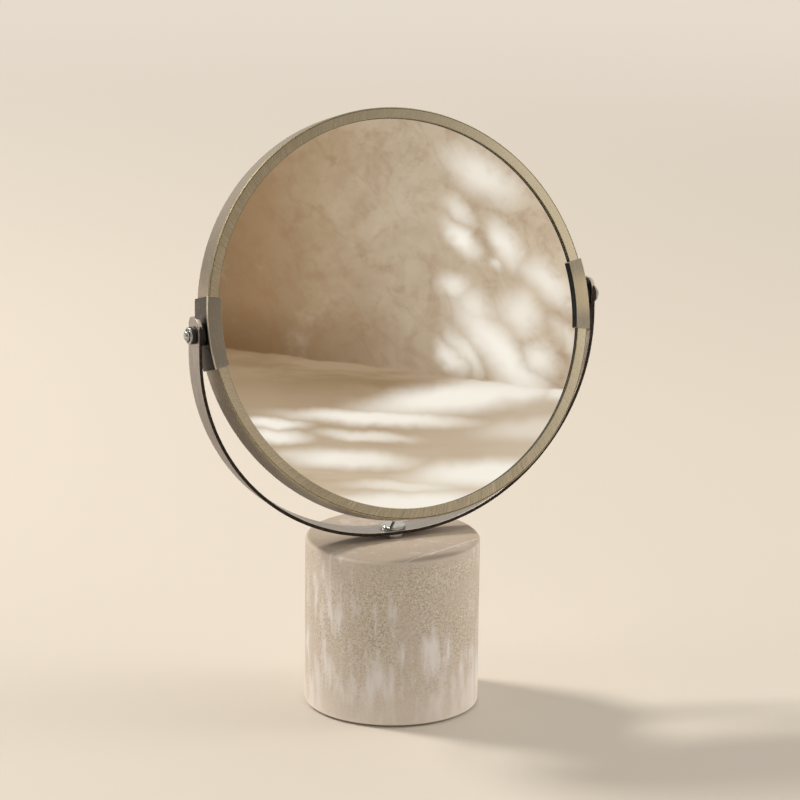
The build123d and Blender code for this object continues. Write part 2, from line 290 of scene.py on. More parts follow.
def fill(node, inputs):
    """Gives a node's sockets their values, a hex colour as linear light, or links them to a socket or to the
    first output of a node."""
    for key, value in inputs.items():
        socket = node.inputs[key]
        if isinstance(value, str):
            value = srgb(value)
        if isinstance(value, bpy.types.Node):
            value = next(out for out in value.outputs if out.enabled)
        if isinstance(value, bpy.types.NodeSocket):
            node.id_data.links.new(value, socket)
        else:
            socket.default_value = (*value, 1) if socket.type == "RGBA" else value


def add_node(tree, kind, inputs=None, stops=(), **settings):
    """Adds a shader node: settings go to its properties, inputs to its sockets, and (position, grey or
    hex colour) stops to its colour ramp."""
    node = tree.nodes.new("ShaderNode" + kind)
    for key, value in settings.items():
        setattr(node, key, value)
    fill(node, inputs or {})
    while 2 < len(stops) > len(node.color_ramp.elements):
        node.color_ramp.elements.new(0.5)
    for place, (position, tone) in enumerate(stops):
        element = node.color_ramp.elements[place]
        element.position = position
        element.color = (tone, tone, tone, 1) if isinstance(tone, float) else (*srgb(tone), 1)
    return node


SMOOTH = {"interpolation_type": "SMOOTHSTEP"}


def span(from_low, from_high, to_low=0.0, to_high=1.0):
    """The inputs of a range that is mapped to another."""
    return {"From Min": from_low, "From Max": from_high, "To Min": to_low, "To Max": to_high}


def new_material(name, **constants):
    """An empty material with values on its shader's own sockets (spaces in their names are written as _),
    its shader, and add_node for its tree."""
    material = bpy.data.materials.new(name)
    material.use_nodes = True
    shader = material.node_tree.nodes["Principled BSDF"]
    fill(shader, {key.replace("_", " "): value for key, value in constants.items()})
    return material, shader, partial(add_node, material.node_tree)


def painted(add, under, source, tone, stops=()):
    """A colour with a tone painted over it, by a source's own amount or by what a ramp makes of it."""
    amount = add("ValToRGB", {0: source}, stops) if stops else source
    return add("Mix", {0: amount, 6: under, 7: tone}, data_type="RGBA")


def per_mm(size_mm):
    """Texture scale that gives features of a size in millimetres, on coordinates in metres."""
    return 1 / (size_mm * MM)


def darker(tone, *factors):
    return [c * f for c, f in zip(tone, factors * (3 // len(factors)))]


def mirror_coordinates(add):
    """Object coordinates turned to the mirror plane: x along the pivots, y up the glass, z out of the front."""
    return add(
        "Mapping",
        {
            "Vector": add("TexCoord").outputs["Object"], "Rotation": (TILT - pi / 2, 0, 0),
            "Location": (0, -PIVOT.z * cos(TILT), -PIVOT.z * sin(TILT))
        }
    )


def brush_lines_round(add, pitch_mm, skew):
    """Grey noise drawn out into lines that run from the ring's centre outwards, leaning by a skew,
    and the direction across those lines."""
    flat = add("VectorMath", {0: mirror_coordinates(add), 1: (1, 1, 0)}, operation="MULTIPLY")
    radius = add("VectorMath", {0: flat}, operation="LENGTH")
    way = add("VectorMath", {0: flat}, operation="NORMALIZE")
    band_radius = RING_HIGH.x - 3 * MM
    lean = add("Math", {0: radius, 1: -band_radius}, operation="ADD")
    lean = add("Math", {0: lean, 1: skew}, operation="MULTIPLY")
    way = add("VectorRotate", {"Vector": way, "Angle": lean}, rotation_type="Z_AXIS")
    along = add("Math", {0: radius, 1: per_mm(9)}, operation="MULTIPLY")
    along = add("CombineXYZ", {"Z": along})
    around = (band_radius * per_mm(pitch_mm),) * 3
    place = add("VectorMath", {0: way, 1: around, 2: along}, operation="MULTIPLY_ADD")
    lines = add("TexNoise", {"Vector": place, "Scale": 1.0, "Detail": 2.0, "Roughness": 0.6})
    # the direction across the lines, turned back to object coordinates
    sideways = add("VectorRotate", {"Vector": way, "Angle": pi / 2}, rotation_type="Z_AXIS")
    sideways = add("Mapping", {"Vector": sideways, "Rotation": (pi / 2 - TILT, 0, 0)}, vector_type="VECTOR")
    return lines, sideways


def cast_stone():
    """Sand-coloured cement casting, poured in a smooth mould: fine sand grains show through the skin,
    pale lime runs down the sides in soft streaks, and the top and the rounding are rubbed smooth."""
    sizes, colours = choices()
    material, shader, add = new_material("cast_sand_cement", Specular_IOR_Level=0.3)
    place = add("TexCoord").outputs["Object"]
    height = add("SeparateXYZ", {0: place}).outputs["Z"]
    # soft clouds, about 25 mm
    clouds = add("TexNoise", {"Vector": place, "Scale": per_mm(26), "Detail": 3.0})
    body = painted(add, colours.stone, clouds, colours.stone_pink, [(0.38, 0.0), (0.62, 1.0)])
    # sand grains, each with its own tone, drawn coarser than real sand so that they show
    grain = add("TexVoronoi", {"Vector": place, "Scale": 1 / sizes.stone_grain})
    grain = add("SeparateXYZ", {0: grain.outputs["Color"]})
    # they show most in the middle of the side, hardly on the rubbed top and less under the lime skin
    shown = add(
        "ValToRGB", {0: add("MapRange", {"Value": height, **span(0.0, BASE_HIGH.z)})},
        [(0.0, 0.5), (0.3, 0.8), (0.6, 1.0), (0.95, 0.9), (0.99, 0.2)]
    )
    patch = add("TexNoise", {"Vector": place, "Scale": per_mm(18), "Detail": 2.0})
    patch = add("ValToRGB", {0: patch}, [(0.38, 0.5), (0.6, 1.0)])
    shown = add("Math", {0: shown, 1: patch}, operation="MULTIPLY")
    for stops, tone in (([(0.05, 0.45), (0.4, 0.0)], "#7d6c59"), ([(0.56, 0.0), (0.92, 0.5)], "#e3dacb")):
        amount = add("ValToRGB", {0: grain}, stops)
        amount = add("Math", {0: amount, 1: shown}, operation="MULTIPLY")
        body = painted(add, body, amount, tone)
    # pale streaks that hang down the sides, more of them near the bottom
    thin = (1 / sizes.streak_width, 1 / sizes.streak_width, 1 / sizes.streak_length)
    hang = add("VectorMath", {0: place, 1: thin}, operation="MULTIPLY")
    streak = add("TexNoise", {"Vector": hang, "Scale": 1.0, "Detail": 2.5, "Roughness": 0.5, "Distortion": 0.2})
    lower = add("MapRange", {"Value": height, **span(BASE_LOW.z, BASE_HIGH.z, 0.1, -0.11)})
    streak = add("Math", {0: streak, 1: lower}, operation="ADD")
    wide = add("TexNoise", {"Vector": place, "Scale": per_mm(24), "Detail": 1.0})
    wide = add("MapRange", {"Value": wide, **span(0.3, 0.7, -0.12, 0.12)})
    streak = add("Math", {0: streak, 1: wide}, operation="ADD")
    body = painted(add, body, streak, colours.stone_streak, [(0.5, 0.0), (0.62, 0.4), (0.76, 0.85)])
    # paler towards the lower edge, and a painted highlight on the lower edge itself
    body = painted(
        add, body, add("MapRange", {"Value": height, **span(BASE_LOW.z, BASE_HIGH.z)}), "#d8cdc2",
        [(0.0, 0.95), (0.012, 0.9), (0.03, 0.66), (0.11, 0.5), (0.22, 0.24), (0.5, 0.0)]
    )
    # the top is painted a little darker as shade, with one pale vein across its front
    on_top = add("MapRange", {"Value": height, **span(BASE_HIGH.z - 1 * MM, BASE_HIGH.z)})
    painted_shading = add("Math", {0: on_top, 1: 0.52}, operation="MULTIPLY")
    body = painted(add, body, painted_shading, "#8f7f6c")
    wobble = add("TexNoise", {"Vector": place, "Scale": per_mm(7), "Detail": 2.0})
    wobble = add("MapRange", {"Value": wobble, **span(0.0, 1.0, 33.2 * MM - 2 * MM, 33.2 * MM + 2 * MM)})
    across = add("VectorMath", {0: place, 1: (-0.372, 0.928, 0)}, operation="DOT_PRODUCT")
    across = add("Math", {0: across, 1: wobble}, operation="ADD")
    across = add("Math", {0: across}, operation="ABSOLUTE")
    vein = add("MapRange", {"Value": across, **span(0, 0.7 * MM, 0.55, 0)})
    vein = add("Math", {0: vein, 1: on_top}, operation="MULTIPLY")
    body = painted(add, body, vein, colours.stone_streak)
    rough = add("MapRange", {"Value": grain, **span(0.0, 1.0, 0.92, 0.72)})
    relief = add("Math", {0: grain, 1: shown}, operation="MULTIPLY")
    bump = add("Bump", {"Height": relief, "Strength": 0.4, "Distance": 0.08 * MM})
    slow = add("TexNoise", {"Vector": place, "Scale": per_mm(9), "Detail": 2.0})
    bump = add("Bump", {"Height": slow, "Strength": 0.35, "Distance": 0.25 * MM, "Normal": bump})
    fill(shader, {"Base Color": body, "Roughness": rough, "Normal": bump})
    return material


def painted_towards(add, under, direction, tone, stops):
    """A colour with a tone painted over it towards a direction in the plane of the mirror; the stops run from
    the centre to the ring's edge."""
    side = add("VectorMath", {0: mirror_coordinates(add), 1: direction}, operation="DOT_PRODUCT")
    side = add("MapRange", {"Value": side, **span(0.0, RING_HIGH.x)})
    return painted(add, under, side, tone, stops)


def sheen_towards_right(add, body, tone, left, right, reach=None):
    """A painted sheen at the upper right of the ring, and a little at the lower left; on a clip only
    within a short reach above and below the pivots."""
    side = add("VectorMath", {0: mirror_coordinates(add), 1: (0.93, 0.37, 0)}, operation="DOT_PRODUCT")
    side = add("MapRange", {"Value": side, **span(RING_LOW.x, RING_HIGH.x)})
    stops = [(0.0, left), (0.1, 0.05), (0.3, 0.05), (0.6, 0.16), (0.87, right * 0.63), (0.97, right)]
    side = add("ValToRGB", {0: side}, stops)
    if reach:
        up = add("SeparateXYZ", {0: mirror_coordinates(add)}).outputs["Y"]
        up = add("Math", {0: up}, operation="ABSOLUTE")
        kept = add("MapRange", {"Value": up, **span(reach * 0.25, reach, 1.0, 0.3)}, **SMOOTH)
        side = add("Math", {0: side, 1: kept}, operation="MULTIPLY")
    return painted(add, body, side, tone)


def antique_brass_band():
    """Brass sheet, brushed across the band before its thin antique plating and lacquer:
    fine leaning lines catch the light, and the colour goes from olive grey to pale gold, with a painted sheen
    at the upper right and lower left and painted shade at the top."""
    sizes, colours = choices()
    material, shader, add = new_material("brushed_antique_brass", Metallic=1.0, Anisotropic=0.7)
    lines, sideways = brush_lines_round(add, sizes.brush_pitch / MM, 5.0)
    fine, _ = brush_lines_round(add, sizes.brush_pitch / MM * 0.6, 5.0)
    tone = colours.ring_brass
    patina = add("TexNoise", {"Vector": mirror_coordinates(add), "Scale": per_mm(22), "Detail": 3.0})
    body = tone
    for source, stops, other in (
        (patina, [(0.35, 0.0), (0.65, 0.7)], darker(tone, 0.84, 0.85, 0.82)),
        (lines, [(0.36, 0.5), (0.56, 0.0)], darker(tone, 0.5, 0.48, 0.42)),
        (fine, [(0.54, 0.0), (0.7, 0.5)], "#efe7cf")
    ):
        body = painted(add, body, source, other, stops)
    # painted sheen at the upper right, and a little at the lower left
    body = sheen_towards_right(add, body, "#f3f0de", 0.42, 0.95)
    # and painted shade darkens it most at the top, a little to the left
    body = painted_towards(add, body, (-0.2, 0.98, 0), "#6c6752", [(0.55, 0.0), (0.9, 0.26)])
    rough = add("MapRange", {"Value": lines, **span(0.3, 0.7, 0.32, 0.2)})
    bump = add("Bump", {"Height": lines, "Strength": 0.2, "Distance": 0.04 * MM})
    fill(shader, {"Base Color": body, "Roughness": rough, "Normal": bump, "Tangent": sideways})
    return material


def highlight_bevel(name, tone, shade_upper_left=0.0):
    """A bevel painted pale as a narrow highlight line. A share of painted shade may be put on it at the
    upper left."""
    material, shader, add = new_material(name, Metallic=1.0)
    turned, _ = brush_lines_round(add, 8.0, 0.0)
    body = painted(add, srgb(tone), turned, darker(srgb(tone), 0.82, 0.8, 0.74), [(0.35, 0.0), (0.65, 1.0)])
    if shade_upper_left:
        body = painted_towards(add, body, (-0.77, 0.64, 0), "#4f4937", [(0.1, 0.0), (0.7, shade_upper_left)])
    rough = add("MapRange", {"Value": turned, **span(0.3, 0.7, 0.58, 0.68)})
    fill(shader, {"Base Color": body, "Roughness": rough})
    return material


def satin_plating(name, tone, spread_mm, roughness, turned=True, painted_shading=None):
    """Sheet metal, brushed along its length and plated: long faint lines, a soft sheen and hardly any colour.
    The spread gives the size of the lines along each axis, turned with the mirror or not; a tone given for
    the painted sheen shows at the right."""
    material, shader, add = new_material(name, Metallic=1.0)
    place = mirror_coordinates(add) if turned else add("TexCoord").outputs["Object"]
    drawn = add("VectorMath", {0: place, 1: [per_mm(s) for s in spread_mm]}, operation="MULTIPLY")
    lines = add("TexNoise", {"Vector": drawn, "Scale": 1.0, "Detail": 3.0, "Roughness": 0.6})
    patina = add("TexNoise", {"Vector": place, "Scale": per_mm(15), "Detail": 3.0})
    body = tone
    for source, stops, other in (
        (lines, [(0.35, 0.6), (0.6, 0.0)], darker(tone, 0.6)),
        (lines, [(0.56, 0.0), (0.7, 0.5)], darker(tone, 1.35)),
        (patina, [(0.4, 0.0), (0.7, 0.5)], darker(tone, 0.8, 0.77, 0.74))
    ):
        body = painted(add, body, source, other, stops)
    # a painted sheen at the right
    if painted_shading:
        body = sheen_towards_right(add, body, painted_shading, 0.0, 0.95, reach=14 * MM)
    rough = add("MapRange", {"Value": lines, **span(0.3, 0.7, roughness + 0.06, roughness - 0.06)})
    bump = add("Bump", {"Height": lines, "Strength": 0.15, "Distance": 0.03 * MM})
    fill(shader, {"Base Color": body, "Roughness": rough, "Normal": bump})
    return material


def even_finish(
    name, size_mm, tones, detail=2.0, reach=(0.35, 0.65), turned=False, relief_mm=0.0, rough=None, **constants
):
    """A surface of one even grain: two close tones, hex or linear, with relief or a change of gloss."""
    material, shader, add = new_material(name, **constants)
    place = mirror_coordinates(add) if turned else add("TexCoord").outputs["Object"]
    grain = add("TexNoise", {"Vector": place, "Scale": per_mm(size_mm), "Detail": detail})
    first, second = tones
    fill(shader, {"Base Color": painted(add, first, grain, second, [(reach[0], 0.0), (reach[1], 1.0)])})
    if relief_mm:
        bump = add("Bump", {"Height": grain, "Strength": 0.4, "Distance": relief_mm * MM})
        fill(shader, {"Normal": bump})
    if rough:
        gloss = add("MapRange", {"Value": grain, **span(0.3, 0.7, rough[0], rough[1])})
        fill(shader, {"Roughness": gloss})
    return material


def painted_shade_edge(name, tone):
    """Cut and inner edges, slots and grooves painted nearly black as shade, half matt; in a groove the tone
    also holds its oxide.
    """
    return even_finish(
        name, 2.5, (tone, darker(tone, 1.9)), detail=3.0, reach=(0.4, 0.7), turned=True, rough=(0.42, 0.3),
        Metallic=1.0
    )


def dress(node, material):
    """Gives a carried-over CAD node its finish."""
    piece = frame["nodes"][node]
    for slot in piece.material_slots:
        slot.material = material


# ---------------------------------------------------------------- operators


class TABLE_MIRROR_OT_base(bpy.types.Operator):
    """Cast base with its foam pad and the threaded insert"""

    bl_idname = "table_mirror.base"
    bl_label = "Base"

    def execute(self, context):
        sizes = context.scene.table_mirror_sizes
        radius, low, high = BASE_HIGH.x, BASE_LOW.z, BASE_HIGH.z
        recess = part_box("base_pad")[1]
        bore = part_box("base_insert")[1].x
        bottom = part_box("base_insert")[0].z
        outline = [
            (bore, bottom, 0), (bore, high, 0), (radius, high, sizes.base_round),
            (radius, low, sizes.base_break), (recess.x + PAD_GAP, low, 0.3 * MM),
            (recess.x + PAD_GAP, recess.z, 0), (0.0, recess.z, 0), (0.0, bottom, 0)
        ]
        bm = turned_part(outline, BASE_STEPS)
        stone = cast_stone()
        finished(bm, "base_casting", "stand", [stone], ["base"], sharper=60)
        # closed-cell foam rubber, cut from sheet: dark, matt and finely pitted
        foam = even_finish("dark_foam_rubber", 0.6, ("#2b2521", "#4a413a"), relief_mm=0.1, Roughness=0.92)
        dress("base_pad", foam)
        # turned brass, bright yellow with fine rings of its turning
        brass = even_finish("turned_brass", 0.5, ("#c8a35a", "#a98743"), rough=(0.31, 0.39), Metallic=1.0)
        dress("base_insert", brass)
        return {"FINISHED"}


class TABLE_MIRROR_OT_yoke(bpy.types.Operator):
    """Strip yoke, its spacer and the slotted screw"""

    bl_idname = "table_mirror.yoke"
    bl_label = "Yoke"

    def execute(self, context):
        sizes, colours = choices()
        outer, half_width = YOKE_HIGH.x, YOKE_HIGH.y
        inner = outer - sizes.yoke_sheet
        bend = outer - YOKE_SEAT
        bend_z = YOKE_LOW.z + bend
        bm = bmesh.new()
        section = [
            (-outer, -half_width, 0), (-inner, -half_width, 0), (-inner, half_width, 0), (-outer, half_width, 0)
        ]
        verts, edges = sheet_section(bm, section, lambda a, b: Vector((a, b, YOKE_HIGH.z)))

        def run(geometry, offset):
            """Draws the strip straight on, and gives its new end."""
            ends = [g for g in geometry if isinstance(g, bmesh.types.BMEdge)]
            grown = bmesh.ops.extrude_edge_only(bm, edges=ends)["geom"]
            moved = [g for g in grown if isinstance(g, bmesh.types.BMVert)]
            bmesh.ops.translate(bm, verts=moved, vec=offset)
            return moved + [
                g
                for g in grown
                if isinstance(g, bmesh.types.BMEdge) and set(g.verts) <= set(moved)
            ]

        def bent(geometry, centre_x):
            """Bends the strip through a quarter turn, and gives its new end."""
            return bmesh.ops.spin(
                bm, geom=geometry, cent=(centre_x, 0, bend_z), axis=(0, 1, 0), dvec=(0, 0, 0), angle=-pi / 2,
                steps=YOKE_BEND_STEPS, use_merge=False, use_duplicate=False
            )["geom_last"]

        last = run(verts + edges, (0, 0, bend_z - YOKE_HIGH.z))
        last = bent(last, -YOKE_SEAT)
        last = run(last, (2 * YOKE_SEAT, 0, 0))
        last = bent(last, YOKE_SEAT)
        run(last, (0, 0, YOKE_HIGH.z - bend_z))
        close_ends(bm)
        outward(bm)
        tips = [
            e
            for e in bm.edges
            if all(abs(v.co.z - YOKE_HIGH.z) < TINY for v in e.verts)
            and abs(e.verts[0].co.x - e.verts[1].co.x) > sizes.yoke_sheet / 2
        ]
        break_edges(bm, sizes.yoke_corner, tips, segments=8)
        break_edges(bm, sizes.yoke_break, segments=2)
        # the strip's cut edges get painted shade, the roundings next to them a painted highlight
        for f in bm.faces:
            f.material_index = 1 if abs(f.normal.y) > 0.9 else 2 if abs(f.normal.y) > 0.2 else 0
        for side in (-1, 1):
            bored(bm, PIVOT_HOLE, (side * inner * 0.9, 0, PIVOT.z), (side * outer * 1.1, 0, PIVOT.z))
        bored(bm, SCREW_HOLE, (0, 0, YOKE_LOW.z - 5 * MM), (0, 0, YOKE_LOW.z + 7 * MM))
        plating = satin_plating("satin_pewter_plating", colours.yoke_plate, (12, 0.5, 12), 0.3, turned=False)
        # painted shade on the cut edges and a painted highlight on their bevels
        edge = painted_shade_edge("strip_edge_painted_shade", colours.yoke_shade_tone)
        painted_shading = highlight_bevel("pewter_edge_painted_highlight", "#dcd6d0")
        finished(bm, "yoke_strip", "stand", [plating, edge, painted_shading], ["yoke"])
        # turned steel with polished chrome: sharp, cool reflections, faint turning marks and a trace of haze
        chrome = even_finish(
            "polished_chrome", 3, ("#c6caca", "#a3a8a8"), detail=3.0, rough=(0.04, 0.1), Metallic=1.0
        )

        low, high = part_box("yoke_spacer")
        soft = 0.6 * MM
        outline = [
            (SCREW_HOLE, low.z, 0), (high.x, low.z, soft), (high.x, high.z, soft), (SCREW_HOLE, high.z, 0)
        ]
        finished(
            turned_part(outline, SCREW_STEPS), "turned_spacer", "stand", [chrome], ["yoke_spacer"]
        )

        low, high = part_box("yoke_screw")
        under = high.z - SCREW_HEAD
        outline = [
            (0, low.z, 0), (SCREW_TIP, low.z, 0), (SCREW_SHANK, low.z + SCREW_SHANK - SCREW_TIP, 0),
            (SCREW_SHANK, under, 0), (high.x, under, 0.15 * MM), (high.x, high.z, 0.7 * MM), (0, high.z, 0)
        ]
        bm = turned_part(outline, SCREW_STEPS)
        turned = Matrix.Rotation(SLOT_TURN, 4, "Z")
        slot = turned @ Matrix.Diagonal((20 * MM, SLOT_WIDE, 2 * SLOT_DEEP, 1))
        knife = bmesh.new()
        bmesh.ops.create_cube(knife, size=1.0, matrix=Matrix.Translation((0, 0, high.z)) @ slot)
        cut_away(bm, knife)
        across = turned @ Vector((0, 1, 0))
        # the slot's floor and walls get painted shade
        for f in bm.faces:
            middle = f.calc_center_median()
            sunk = high.z - middle.z
            if abs(middle.dot(across)) < SLOT_WIDE / 2 + TINY and TINY < sunk < SLOT_DEEP + TINY:
                f.material_index = 1
        finished(bm, "slotted_screw", "stand", [chrome, edge], ["yoke_screw"], sharper=30)
        return {"FINISHED"}


def on_bevel(face, inward, sunk, across, along):
    """Whether a face is part of an outer bevel, by its distances from the outer wall and from the front."""
    return inward < across * 1.05 and sunk < along * 1.05 and 0.1 < abs(face.normal.z) < 0.99


class TABLE_MIRROR_OT_ring(bpy.types.Operator):
    """The two half rings, channels with an outer wall and two lips"""

    bl_idname = "table_mirror.ring"
    bl_label = "Ring"

    def execute(self, context):
        sizes, colours = choices()
        radius = RING_HIGH.x
        depth = ring_half_depth()
        wall = radius - sizes.ring_wall
        lip = radius - sizes.ring_band
        lip_back = depth - sizes.ring_lip
        soft = sizes.edge_round
        groove_out = radius - sizes.bevel_across - GROOVE_FROM_BEVEL
        groove_in = groove_out - GROOVE_WIDE
        outline = [
            (wall, lip_back, 0), (lip, lip_back, soft), (lip, depth, soft * 1.5), (groove_in, depth, 0),
            (groove_in + 0.06 * MM, depth - GROOVE_DEEP, 0), (groove_out - 0.06 * MM, depth - GROOVE_DEEP, 0),
            (groove_out, depth, 0), (radius - sizes.bevel_across, depth, soft / 2),
            (radius, depth - sizes.bevel_along, soft / 2)
        ]
        corners = outline + [(a, -b, c) for a, b, c in reversed(outline)]
        band = antique_brass_band()
        # a pale bevel line as a painted highlight, with painted shade on it at the upper left
        bright = highlight_bevel("brass_bevel_painted_highlight", "#d6cba9", shade_upper_left=0.7)
        outer = satin_plating("satin_antique_wall", colours.ring_wall, (7, 7, 0.4), 0.3)
        # painted shade inside the lips, and in the groove painted shade over its oxide
        inner = painted_shade_edge("inner_lip_painted_shade", colours.lip_shade_tone)
        groove = painted_shade_edge("groove_oxide_and_painted_shade", srgb("#6a6248"))
        for name, node, way in (("ring_upper", "frame_upper", 1), ("ring_lower", "frame_lower", -1)):
            bm = bmesh.new()
            verts, edges = sheet_section(bm, corners)
            gap = HALF_RING_GAP / radius
            bmesh.ops.rotate(bm, verts=verts, cent=(0, 0, 0), matrix=Matrix.Rotation(way * gap, 3, "Z"))
            turn(bm, verts, edges, (0, 0, 0), (0, 0, 1), way * (pi - 2 * gap), HALF_RING_STEPS)
            close_ends(bm)
            outward(bm)
            for side in (1, -1):
                bored(bm, RING_HOLE, (side * wall * 0.9, 0, 0), (side * radius * 1.1, 0, 0))
            # bevels and the inner edge's rounding get the painted highlight; the inside of the lips and the
            # groove get painted shade
            for f in bm.faces:
                middle, tilted = f.calc_center_median(), abs(f.normal.z)
                out, sunk = middle.xy.length, depth - abs(middle.z)
                if on_bevel(f, radius - out, sunk, sizes.bevel_across, sizes.bevel_along):
                    f.material_index = 1
                elif out > radius - 0.05 * MM and tilted < 0.1:
                    f.material_index = 2
                elif out < lip + soft * 1.6 and sunk < soft * 1.6 and 0.1 < tilted < 0.995:
                    f.material_index = 1
                elif out < lip + soft and tilted < 0.6 or abs(middle.z) < lip_back + soft / 4:
                    f.material_index = 3
                elif groove_in < out < groove_out and sunk > GROOVE_DEEP / 3:
                    f.material_index = 4
            bmesh.ops.transform(bm, matrix=MIRROR_FRAME, verts=bm.verts)
            finished(bm, name, "mirror", [band, bright, outer, inner, groove], [node])
        return {"FINISHED"}


class TABLE_MIRROR_OT_clips(bpy.types.Operator):
    """The two clips that hold the half rings together at the pivots"""

    bl_idname = "table_mirror.clips"
    bl_label = "Clips"

    def execute(self, context):
        sizes, colours = choices()
        radius, depth = RING_HIGH.x, ring_half_depth()
        fit, sheet = CLIP_GAP, sizes.clip_sheet
        lip = radius - sizes.ring_band
        inside = lip - fit - sheet
        out, front = radius + fit + sheet, depth + fit + sheet
        soft = sizes.edge_round
        outline = [
            (radius + fit, depth - sizes.bevel_along, 0), (radius - sizes.bevel_across + fit, depth + fit, 0),
            (lip - fit, depth + fit, 0), (lip - fit, depth - sizes.ring_lip + fit, 0),
            (inside, depth - sizes.ring_lip + fit, 0), (inside, front, 0), (out - sizes.bevel_across, front, 0),
            (out, front - sizes.bevel_along, 0)
        ]
        corners = outline + [(a, -b, c) for a, b, c in reversed(outline)]
        # a painted sheen at the right of the plating, painted shade on the outer side, a painted highlight on
        # the bevels
        plating = satin_plating("satin_antique_clip", colours.clip_brass, (0.5, 8, 0.5), 0.18, painted_shading="#d9d3bd")
        shaded_side = satin_plating("clip_side_painted_shade", colours.clip_side_shade, (0.5, 8, 0.5), 0.3)
        bright = highlight_bevel("clip_edge_painted_highlight", "#ddd6c6")
        inner = bpy.data.materials["inner_lip_painted_shade"]
        for name, node, side in (("clip_sleeve_right", "clip_right", 1), ("clip_sleeve_left", "clip_left", -1)):
            bm = bmesh.new()
            verts, edges = sheet_section(bm, corners)
            bmesh.ops.rotate(bm, verts=verts, cent=(0, 0, 0), matrix=Matrix.Rotation(-CLIP_ARC / 2, 3, "Z"))
            turn(bm, verts, edges, (0, 0, 0), (0, 0, 1), CLIP_ARC, CLIP_STEPS)
            close_ends(bm)
            outward(bm)
            # the corners of the inner edge, above and below, front and back
            ends = [v for v in bm.verts if abs(v.co.y) > v.co.xy.length * sin(CLIP_ARC / 2) * 0.99]
            ends = {v for v in ends if abs(v.co.xy.length - inside) < TINY}
            thick = [
                e
                for e in bm.edges
                if set(e.verts) <= ends and abs(e.verts[0].co.z - e.verts[1].co.z) > 1 * MM
            ]
            thick = [e for e in thick if abs(e.verts[0].co.z + e.verts[1].co.z) > depth]
            break_edges(bm, CLIP_CORNER, thick, segments=5)
            break_edges(bm, soft * 1.4, segments=2, sharper=50)
            bored(bm, RING_HOLE, (radius * 0.95, 0, 0), (radius * 1.1, 0, 0))
            # bevels and the front edges get the painted highlight; the inner side and the outer side get
            # painted shade
            for f in bm.faces:
                middle, tilted = f.calc_center_median(), abs(f.normal.z)
                away, sunk = middle.xy.length, front - abs(middle.z)
                if on_bevel(f, out - away, sunk, sizes.bevel_across, sizes.bevel_along):
                    f.material_index = 1
                elif sunk < soft * 1.5 and 0.3 < tilted < 0.995:
                    f.material_index = 1
                elif away < inside + sheet * 0.1 and tilted < 0.6:
                    f.material_index = 2
                elif away > radius and tilted < 0.1:
                    f.material_index = 3
            if side < 0:
                bmesh.ops.scale(bm, vec=(-1, 1, 1), verts=bm.verts)
                outward(bm)
            bmesh.ops.transform(bm, matrix=MIRROR_FRAME, verts=bm.verts)
            finished(bm, name, "mirror", [plating, bright, inner, shaded_side], [node])
        return {"FINISHED"}


class TABLE_MIRROR_OT_glass(bpy.types.Operator):
    """Flat glass, dished glass and what is between them"""

    bl_idname = "table_mirror.glass"
    bl_label = "Glass"

    def execute(self, context):
        sizes = context.scene.table_mirror_sizes
        radius = RING_HIGH.x - sizes.ring_wall - GLASS_GAP
        front = ring_half_depth() - sizes.ring_lip
        thick, sag = sizes.glass_thick, sizes.dish_depth
        bm = bmesh.new()
        bmesh.ops.create_cone(
            bm, cap_ends=True, segments=GLASS_STEPS, radius1=radius, radius2=radius, depth=thick,
            matrix=Matrix.Translation((0, 0, front - thick / 2))
        )
        rims = [e for e in bm.edges if len(e.link_faces) == 2 and e.calc_face_angle(0) > radians(40)]
        break_edges(bm, GLASS_BEVEL, rims, segments=1)
        outward(bm)
        for f in bm.faces:
            f.material_index = 0 if f.normal.z > 0.999 else 1
        bmesh.ops.transform(bm, matrix=MIRROR_FRAME, verts=bm.verts)
        # float glass, silvered at the back: a clear, very slightly cool mirror with the faintest haze of wiping
        silvered = even_finish(
            "silvered_float_glass", 40, ("#f4f2ee", "#f8f7f4"), turned=True, rough=(0.0, 0.012), Metallic=1.0
        )
        # the glass's ground rim: grey-green and matt, with grit of 0.4 mm, coarser than the real one
        ground = even_finish(
            "ground_glass_edge", 0.4, ("#59645f", "#8b9791"), detail=1.0, reach=(0.0, 1.0), turned=True,
            Roughness=0.55
        )
        finishes = [silvered, ground]
        finished(bm, "flat_glass", "mirror", finishes, ["plain_mirror"], sharper=30)
        # dished glass: both faces lie on spheres of one radius, a glass's thickness apart
        dish = (radius**2 + sag**2) / (2 * sag)
        bm = bmesh.new()
        rim = []
        for centre in (sag - front - dish, sag - front - dish + thick):
            arc = bmesh.ops.spin(
                bm, geom=[bm.verts.new((0, 0, centre + dish))], cent=(0, 0, centre), axis=(0, 1, 0),
                dvec=(0, 0, 0), angle=asin(radius / dish), steps=24, use_merge=False, use_duplicate=False
            )
            rim += [v for v in arc["geom_last"] if isinstance(v, bmesh.types.BMVert)]
        bm.edges.new(rim)
        turn(bm, list(bm.verts), list(bm.edges), (0, 0, 0), (0, 0, 1), 2 * pi, GLASS_STEPS)
        outward(bm)
        for f in bm.faces:
            f.material_index = 0 if abs(f.normal.z) > 0.9 else 1
        bmesh.ops.transform(bm, matrix=MIRROR_FRAME, verts=bm.verts)
        finished(bm, "dished_glass", "mirror", finishes, ["magnifying_mirror"], sharper=30)
        # pressed fibre board: warm grey-brown, matt, with short fibres
        board = even_finish(
            "pressed_fibre_board", 1.2, ("#7d6c58", "#9a8a74"), detail=4.0, relief_mm=0.05, Roughness=0.9
        )
        dress("backing_card", board)
        dress("spacer_ring", board)
        return {"FINISHED"}


